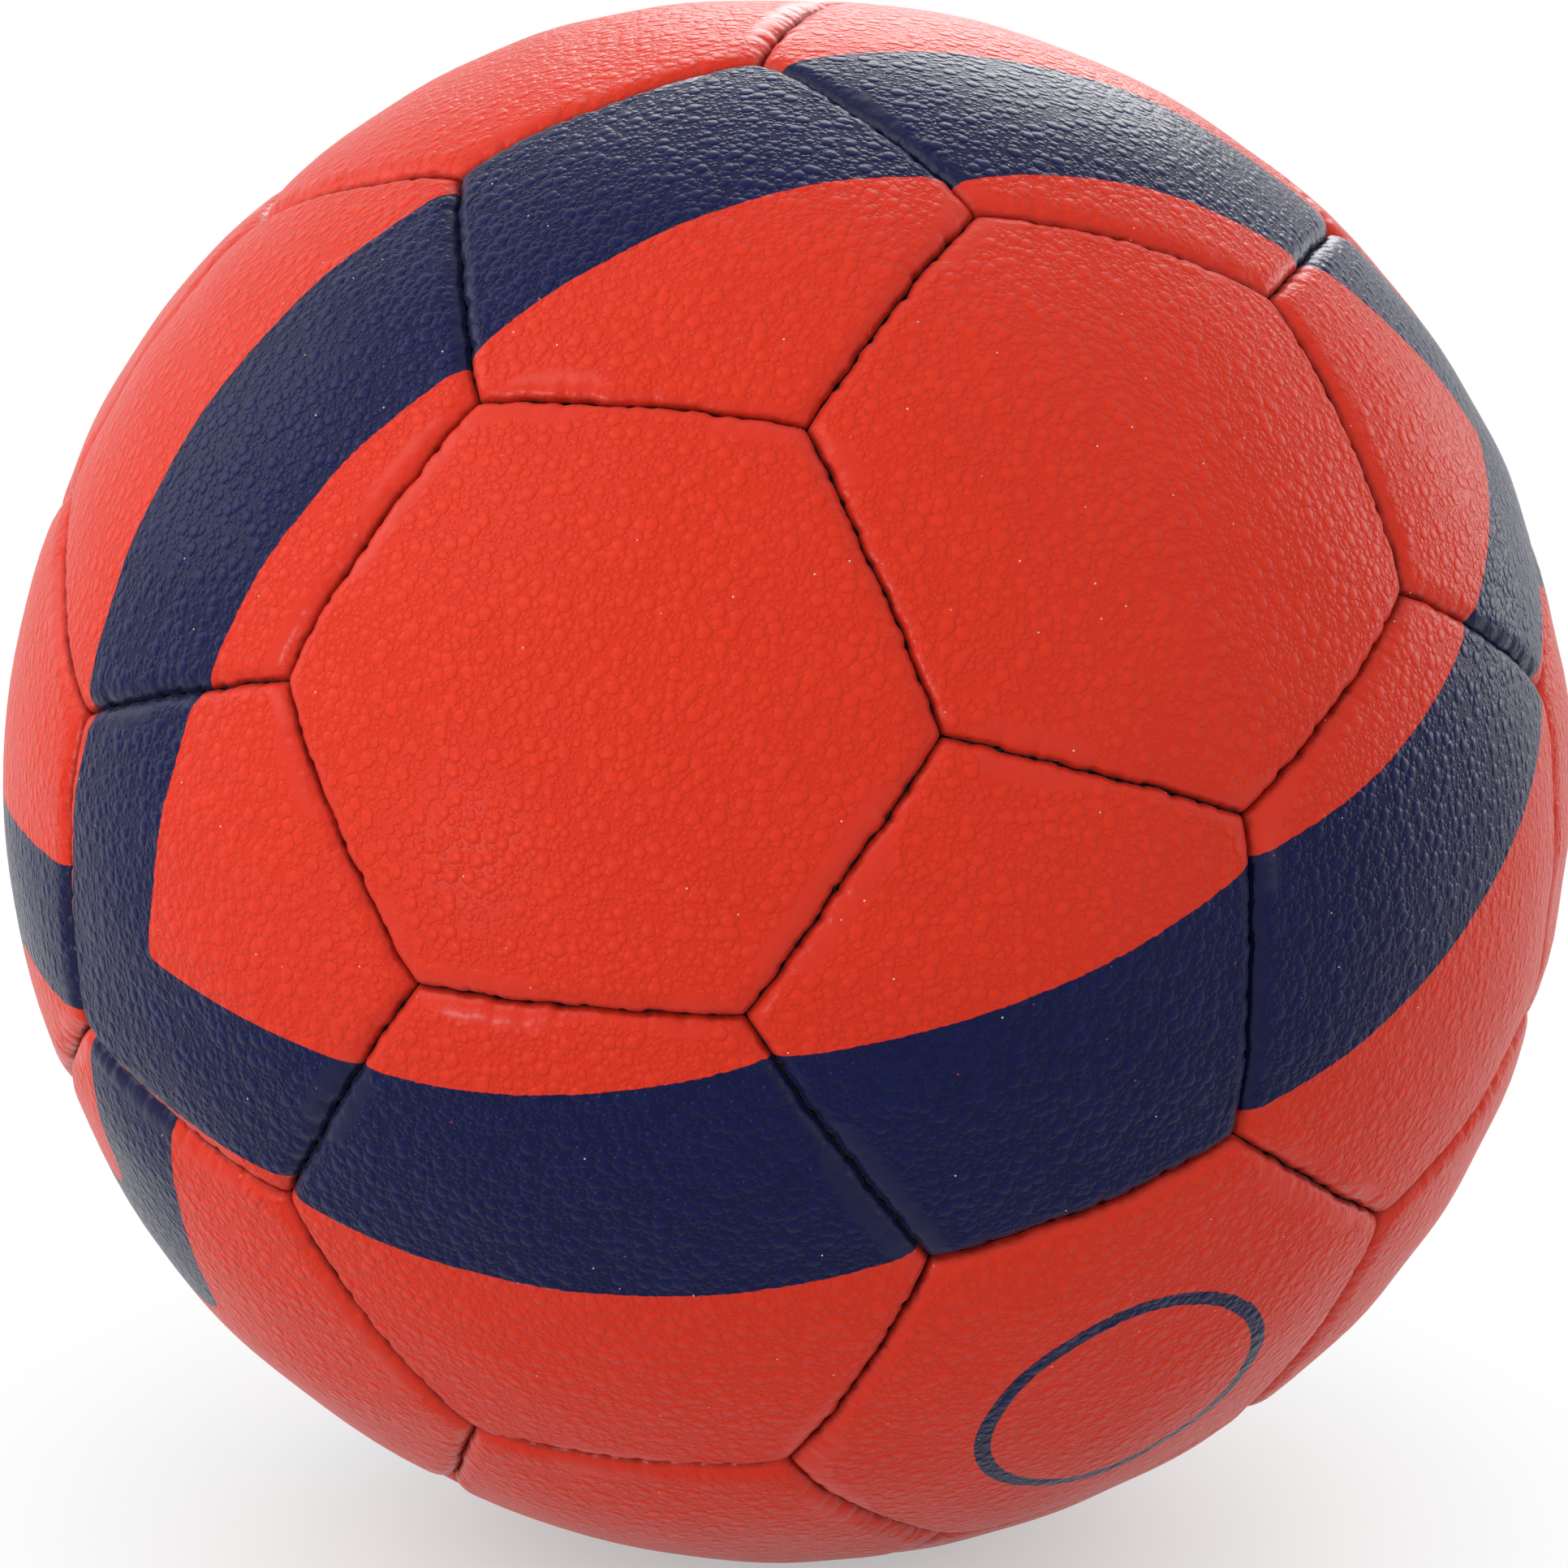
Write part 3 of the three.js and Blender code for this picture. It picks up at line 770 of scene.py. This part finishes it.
valve = {
    "segments": 72,
    "rim": 0.25,  # radius of the small rounded edges
    "rimBulge": 0.3,  # where the core's rounded edge is widest, as a share of that radius
    "seat": 0.3,  # clearance between pieces
    "neck": 3.3,  # radius where the housing goes through the bladder
    "flangeEdge": 0.5,  # thickness of the flange at its rim
    "collar": ((1.4, 1.0), (0.0, 2.0)),  # the slope up to the stem: out from it, and over the seat
    "faceStep": ((-0.9, 0.0), (-1.1, -0.12)),  # in the core's face: out from its rim, and up
    "funnel": ((1.0, -0.12), (0.35, -0.25), (0.0, -0.75), (0.0, -5.5)),  # out from the needle hole, and up
    "needleHole": 0.7,
    "channelEnd": 6.0,  # how far under the core's face the needle's channel ends
    "shankTest": 2.0,  # the core's shank is measured this near its lower end
    "bladderWall": 0.8,
    "bladderRings": 60,
    "patchRings": 12,
}
sameMeasure = 0.01  # heights or radii nearer than this are one and the same

valveAxis = unit(nodePoints("valve_core").mean(axis=0))
valveAxis = hexMiddles[np.argmax(hexMiddles @ valveAxis)]


def aboutAxis(node):  # the heights of a node's points along the valve's axis, and their radii about it
    points = nodePoints(node)
    height = points @ valveAxis
    return height, np.linalg.norm(points - height[:, None] * valveAxis, axis=1)


def stemRadius():  # of the housing, where it comes out through the panel
    height, radius = aboutAxis("valve_housing")
    return radius[height > height.max() - sameMeasure].max()


def arcPoints(radius, fromAngle, toAngle, count):  # about the ball's middle, angles off the valve's axis
    angles = np.linspace(fromAngle, toAngle, count)
    return [(radius * math.sin(a), radius * math.cos(a)) for a in angles]


def revolve(name, profile):
    # Turns (radius, height) points about the valve's axis; a profile that starts on the axis ends on it too
    side = unit(np.cross(valveAxis, (1.0, 0.0, 0.0)))
    other = np.cross(valveAxis, side)
    count = valve["segments"]
    turns = np.linspace(0, 2 * math.pi, count, endpoint=False)
    around = np.cos(turns)[:, None] * side + np.sin(turns)[:, None] * other
    points, rings, faces = [], [], []
    for radius, height in profile:
        if radius == 0:
            rings.append([len(points)] * count)
            points.append(valveAxis * height)
        else:
            rings.append(list(range(len(points), len(points) + count)))
            points.extend(around * radius + valveAxis * height)
    if profile[0][0] > 0:
        rings.append(rings[0])
    for low, high in zip(rings, rings[1:]):
        for i in range(count):
            j = (i + 1) % count
            corners = [low[i], low[j], high[j], high[i]]
            faces.append(tuple(dict.fromkeys(corners)))
    return newMesh(name, points, faces)


def roundedProfile(corners, radius):
    # Cuts each corner of a closed profile with a short arc of that radius, where its sides are long enough
    rounded = []
    for before, here, after in zip(corners[-1:] + corners[:-1], corners, corners[1:] + corners[:1]):
        here, back, ahead = np.array(here), np.array(before) - here, np.array(after) - here
        cut = min(radius, np.linalg.norm(back) / 3, np.linalg.norm(ahead) / 3)
        start, end = here + unit(back) * cut, here + unit(ahead) * cut
        for t in (0, 0.33, 0.67, 1):
            rounded.append(tuple((1 - t) ** 2 * start + 2 * t * (1 - t) * here + t * t * end))
    return rounded


bladderTop = np.linalg.norm(nodePoints("bladder"), axis=1).max()
coreHeight, coreRadius = aboutAxis("valve_core")
coreLow, coreFace, coreHead = coreHeight.min(), coreHeight.max(), coreRadius.max()
coreShank = coreRadius[coreHeight < coreLow + valve["shankTest"]].max()
headUnder = coreHeight[coreRadius > coreHead - sameMeasure].min()


def housingProfile():
    height, radius = aboutAxis("valve_housing")
    low, face, flange, stem = height.min(), height.max(), radius.max(), stemRadius()
    seat, neck = valve["seat"], valve["neck"]
    bore, counterbore, shoulder = coreShank + seat, coreHead + seat, headUnder - seat

    def onBladder(r, over=0.0):  # a point of that radius, so far over the flange's seat on the bladder
        return r, math.sqrt((bladderTop + seat) ** 2 - r * r) + over

    def onCollar(out, over):
        return stem + out, onBladder(stem)[1] + over

    corners = [(bore, low), (neck, low), onBladder(neck), onBladder(flange)]
    corners += [onBladder(flange, valve["flangeEdge"])]
    corners += [onCollar(out, over) for out, over in valve["collar"]]
    corners += [(stem, face), (counterbore, face), (counterbore, shoulder), (bore, shoulder)]
    return roundedProfile(corners, valve["rim"])


def coreProfile():
    rim, hole = valve["rim"], valve["needleHole"]
    bulge = rim * valve["rimBulge"]
    profile = [(0, coreLow), (coreShank - rim, coreLow), (coreShank, coreLow + rim)]
    profile += [(coreShank, headUnder), (coreHead, headUnder), (coreHead, coreFace - rim)]
    profile += [(coreHead - bulge, coreFace - bulge), (coreHead - rim, coreFace)]
    profile += [(coreHead + out, coreFace + up) for out, up in valve["faceStep"]]
    profile += [(hole + out, coreFace + up) for out, up in valve["funnel"]]
    return profile + [(0, coreFace - valve["channelEnd"])]


def bladderProfile():
    inner = bladderTop - valve["bladderWall"]
    edge = math.asin((valve["neck"] + valve["seat"]) / bladderTop)
    pole = math.pi - 0.001  # one point on the axis takes the place of the ring here
    outside = arcPoints(bladderTop, pole, edge, valve["bladderRings"])
    inside = arcPoints(inner, edge, pole, valve["bladderRings"])
    return [(0, -bladderTop)] + outside[1:] + inside[:-1] + [(0, -inner)]


def patchProfile():
    height, radius = aboutAxis("valve_patch")
    level = np.hypot(height, radius)

    def arc(r, first, last):  # at that distance from the ball's middle, between two radii about the axis
        return arcPoints(r, math.asin(first / r), math.asin(last / r), valve["patchRings"])

    hole, wide = radius.min(), radius.max()
    return arc(level.max(), wide, hole) + arc(level.min(), hole, wide)


# finishes of the inner pieces

innerFinishes = {
    "waxed_thread": {"colour": colour(46, 26, 26), "rough": 0.6, "grain": 0.35, "height": 0.08},
    "black_rubber": {"colour": colour(30, 30, 32), "rough": 0.55, "grain": 0.6, "height": 0.02},
    "core_rubber": {"colour": colour(52, 54, 58), "rough": 0.5, "grain": 0.5, "height": 0.02},
    "bladder_rubber": {"colour": colour(36, 34, 34), "rough": 0.5, "grain": 1.5, "height": 0.03},
    "patch_cloth": {"colour": colour(214, 208, 196), "rough": 0.9, "grain": 0.5, "height": 0.08},
}
innerMottle = 0.25  # how much darker the grain's low places are
innerRoughSpread = 0.15


def innerMaterial(name):
    looks = innerFinishes[name]
    material, shader = newMaterial(name, looks["colour"], looks["rough"])
    grain = noise(inObject(shader), looks["grain"], 4.0)
    darker = tuple(c * (1 - innerMottle) for c in looks["colour"][:3]) + (1.0,)
    shader.feed("Base Color", grain.tint(darker, looks["colour"]))
    shader.feed("Roughness", looks["rough"] + (grain - 0.5) * innerRoughSpread)
    shader.feed("Normal", bump(shader, grain * looks["height"]))
    surface(shader)
    return material


# seam threads

thread = {
    "radius": 0.21,  # of one strand
    "twist": 0.22,  # from the stitch's middle line to a strand
    "depth": 3.15,
    "endGap": 0.9,
    "step": 0.5,
    "sides": 6,
}


def strandPoints(seam, phase):
    # One strand winds along the seam, once round the other for every stitch
    half = seamHalf - thread["endGap"]
    run = np.linspace(-half, half, int(2 * half / thread["step"]))
    angle = run / ballRadius
    outward = np.cos(angle)[:, None] * seam["middle"] + np.sin(angle)[:, None] * seam["along"]
    across = np.cross(seam["middle"], seam["along"])
    wind = 2 * math.pi * run / sewing["stitchPitch"] + phase
    level = ballRadius - thread["depth"] + thread["twist"] * np.cos(wind)
    centre = outward * level[:, None] + across * (thread["twist"] * np.sin(wind))[:, None]
    return centre, outward, across


def threadMesh(owned, name):
    points, faces = [], []
    sides = thread["sides"]
    turns = np.linspace(0, 2 * math.pi, sides, endpoint=False)
    for seam, phase in [(s, p) for s in owned for p in (0, math.pi)]:
        centre, outward, across = strandPoints(seam, phase)
        start = len(points)
        for middlePoint, out in zip(centre, outward):
            for turn in turns:
                spoke = math.cos(turn) * out + math.sin(turn) * across
                points.append(middlePoint + thread["radius"] * spoke)
        last = len(points) - sides
        for low in range(start, last, sides):
            for k in range(sides):
                a, b = low + k, low + (k + 1) % sides
                faces.append((a, b, b + sides, a + sides))
        faces.append(tuple(range(start, start + sides))[::-1])
        faces.append(tuple(range(last, last + sides)))
    return newMesh(name, points, faces)


def seamOwners():
    # The thread node that runs along each seam is the one with a corner nearest to the seam's middle
    threadPoints = {n: nodePoints(n) for n in frame["nodes"] if n.startswith("thread_")}
    owners = {n: [] for n in threadPoints}
    for seam in seams.values():
        spot = seam["middle"] * (ballRadius - thread["depth"])
        near = {n: np.linalg.norm(p - spot, axis=1).min() for n, p in threadPoints.items()}
        owners[min(near, key=near.get)].append(seam)
    return owners


# putting the pieces on the frame


def faceOutward(made):  # turns every face round if the closed mesh is inside out
    mesh = made.data
    corners = np.zeros(len(mesh.vertices) * 3)
    mesh.vertices.foreach_get("co", corners)
    corners = corners.reshape(-1, 3)
    mesh.calc_loop_triangles()
    triangles = np.zeros(len(mesh.loop_triangles) * 3, int)
    mesh.loop_triangles.foreach_get("vertices", triangles)
    a, b, c = corners[triangles.reshape(-1, 3)].transpose(1, 0, 2)
    if (np.cross(a, b) * c).sum() < 0:
        mesh.flip_normals()


def place(made, node, material):
    faceOutward(made)
    made.data.materials.append(material)
    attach(made, "root" if "root" in frame["bodies"] else next(iter(frame["bodies"])))
    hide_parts(node)


valveHole = stemRadius() + valve["seat"]
for panel in panels:
    hasValve = panel["middle"] @ valveAxis > sameWay
    points, faces, plane, fromSeam = buildCover(panel, valveHole if hasValve else None)
    made = newMesh(panel["node"] + "_cover", points, faces)
    across, upward = panel["axes"]
    printPlace = np.stack((plane @ across * ballRadius, plane @ upward * ballRadius, fromSeam), axis=1)
    printPlace[:, :2] -= panel["shift"]
    attribute = made.data.attributes.new("onPanel", "FLOAT_VECTOR", "POINT")
    attribute.data.foreach_set("vector", printPlace.astype(np.float32).ravel())
    place(made, panel["node"], coverMaterials[panel["print"]])
print("cover panels ready")

threadMaterial = innerMaterial("waxed_thread")
for node, owned in seamOwners().items():
    place(threadMesh(owned, node + "_stitches"), node, threadMaterial)
    print(node, "sews", len(owned), "seams")

innerPieces = [  # piece, profile, node, slot, material
    ("valve_housing_moulding", housingProfile(), "valve_housing", "valve", "black_rubber"),
    ("valve_core_plug", coreProfile(), "valve_core", "valve_core", "core_rubber"),
    ("bladder_shell", bladderProfile(), "bladder", "bladder", "bladder_rubber"),
    ("valve_patch_cloth", patchProfile(), "valve_patch", "patch", "patch_cloth"),
]
for name, profile, node, slot, material in innerPieces:
    place(revolve(name, profile), node, innerMaterial(material))
print("valve and bladder ready")

# studio

studio = {
    "floorSize": 6.0,  # metres
    "floor": (0.55, 0.55, 0.55, 1),
    "floorRough": 0.8,
    "floorFade": (0.05, 0.15),  # metres from the ball's middle over which the floor pales to the backdrop
    "backdrop": (1, 1, 1, 1),
    "worldLight": 0.85,
    # Lamps stand towards the picture's own directions: right, up, to the camera; in metres and watts
    "lamps": {
        "key": {"towards": (-0.6, 0.6, 0.5), "distance": 1.4, "size": 0.8, "power": 4.5},
        "window": {"towards": (-0.706, -0.171, 0.689), "distance": 1.3, "size": 0.2, "power": 3.2},
        "back": {"towards": (0.12, 0.65, -0.75), "distance": 1.4, "size": 0.8, "power": 7.0},
        "left": {"towards": (-0.85, 0.5, -0.1), "distance": 1.4, "size": 0.8, "power": 3.5},
        "right": {"towards": (0.75, -0.4, 0.5), "distance": 1.4, "size": 0.7, "power": 6.0},
        "rim": {"towards": (0.78, 0.25, -0.57), "distance": 1.4, "size": 0.8, "power": 4.0},
    },
}


def pictureDirection(towards):
    right, up, back = towards
    return (pictureRight * right + pictureUp * up + pictureBack * back).normalized()


def softLight(name, light):
    data = bpy.data.lights.new(name, "AREA")
    data.shape = "DISK"
    data.size = light["size"]
    data.energy = light["power"]
    lamp = bpy.data.objects.new(name, data)
    lamp.visible_camera = False
    away = pictureDirection(light["towards"])
    lamp.location = away * light["distance"]
    lamp.rotation_mode = "QUATERNION"
    lamp.rotation_quaternion = away.to_track_quat("Z", "Y")
    bpy.context.scene.collection.objects.link(lamp)


def seesBackdrop(wire):  # 1 for the rays that show the white backdrop instead of lighting the ball
    shown = 0.0
    for kind in ("Is Camera Ray", "Is Glossy Ray", "Is Transmission Ray"):
        shown = wire.add("ShaderNodeLightPath", out=kind).most(shown)
    return shown


def makeFloor():
    level = cadBox[0].z / mm
    half = studio["floorSize"] / 2 / mm
    corners = [(-half, -half, level), (half, -half, level), (half, half, level), (-half, half, level)]
    floor = newMesh("floor", corners, [(0, 1, 2, 3)])
    material, shader = newMaterial("floor", studio["floor"], studio["floorRough"])
    away = shader.add("ShaderNodeVectorMath", {"operation": "LENGTH"}, {0: inObject(shader)}, out="Value")
    pale = shader.add("ShaderNodeEmission", None, {"Color": studio["backdrop"], "Strength": 1.0})
    share = seesBackdrop(shader) * away.step(*studio["floorFade"])
    surface(shader.add("ShaderNodeMixShader", None, {0: share, 1: shader, 2: pale}))
    floor.data.materials.append(material)


def makeWorld():
    world = bpy.data.worlds.new("studio")
    bpy.context.scene.world = world
    world.use_nodes = True
    world.node_tree.nodes.clear()
    wire = Wire(world.node_tree)
    strength = seesBackdrop(wire) * (1 - studio["worldLight"]) + studio["worldLight"]
    background = wire.add("ShaderNodeBackground", None, {"Color": studio["backdrop"], "Strength": strength})
    wire.add("ShaderNodeOutputWorld", None, {"Surface": background}, out=None)


makeFloor()
makeWorld()
for name, light in studio["lamps"].items():
    softLight(name, light)
bpy.context.scene.view_settings.view_transform = "Standard"
print("studio ready")
